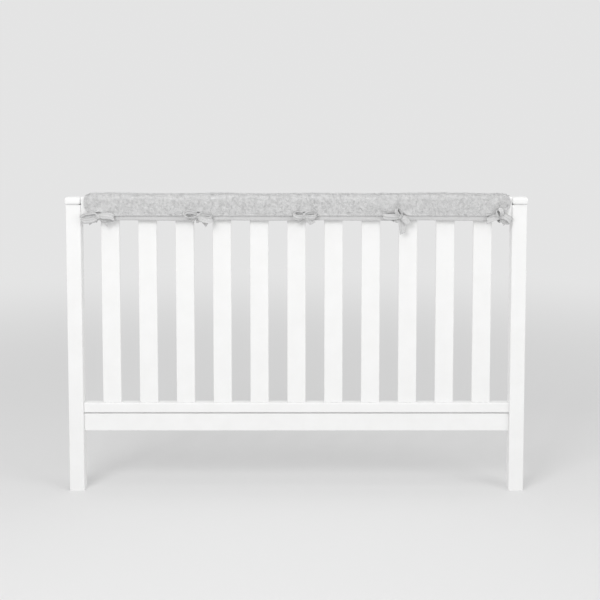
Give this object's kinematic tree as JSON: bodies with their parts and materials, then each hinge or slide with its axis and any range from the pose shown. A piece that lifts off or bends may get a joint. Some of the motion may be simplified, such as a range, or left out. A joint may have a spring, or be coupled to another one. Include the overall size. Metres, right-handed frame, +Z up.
{
  "type": "crib front side with padded rail cover",
  "caption": "Slatted front side of a crib with a padded plush cover folded over its top rail and tied on with bows.",
  "frame": {"origin": "on the floor, under the middle of the whole part", "axes": "+X along the rail to the right as seen from the front, +Y to the back, +Z up; the bows face -Y"},
  "size_m": [1.416, 0.0704, 0.9259],
  "materials": {
    "painted_wood": "white satin lacquer over smooth wood",
    "plush": "short soft pile in uneven clumps, light grey",
    "woven_cotton": "smooth plain weave, light grey, folded and stitched"
  },
  "bodies": {
    "root": {"post_left": "painted_wood", "post_cap_left": "painted_wood", "post_right": "painted_wood", "post_cap_right": "painted_wood", "top_rail": "painted_wood", "lower_rail": "painted_wood", "base_beam": "painted_wood", "slat_1": "painted_wood", "slat_2": "painted_wood", "slat_3": "painted_wood", "slat_4": "painted_wood", "slat_5": "painted_wood", "slat_6": "painted_wood", "slat_7": "painted_wood", "slat_8": "painted_wood", "slat_9": "painted_wood", "slat_10": "painted_wood", "slat_11": "painted_wood", "plush_cover": "plush", "binding_front": "woven_cotton", "binding_back": "woven_cotton", "tie_back_1": "woven_cotton", "tie_front_1": "woven_cotton", "tie_back_2": "woven_cotton", "tie_front_2": "woven_cotton", "tie_back_3": "woven_cotton", "tie_front_3": "woven_cotton", "tie_back_4": "woven_cotton", "tie_front_4": "woven_cotton", "tie_back_5": "woven_cotton", "tie_front_5": "woven_cotton"}
  },
  "joints": []
}
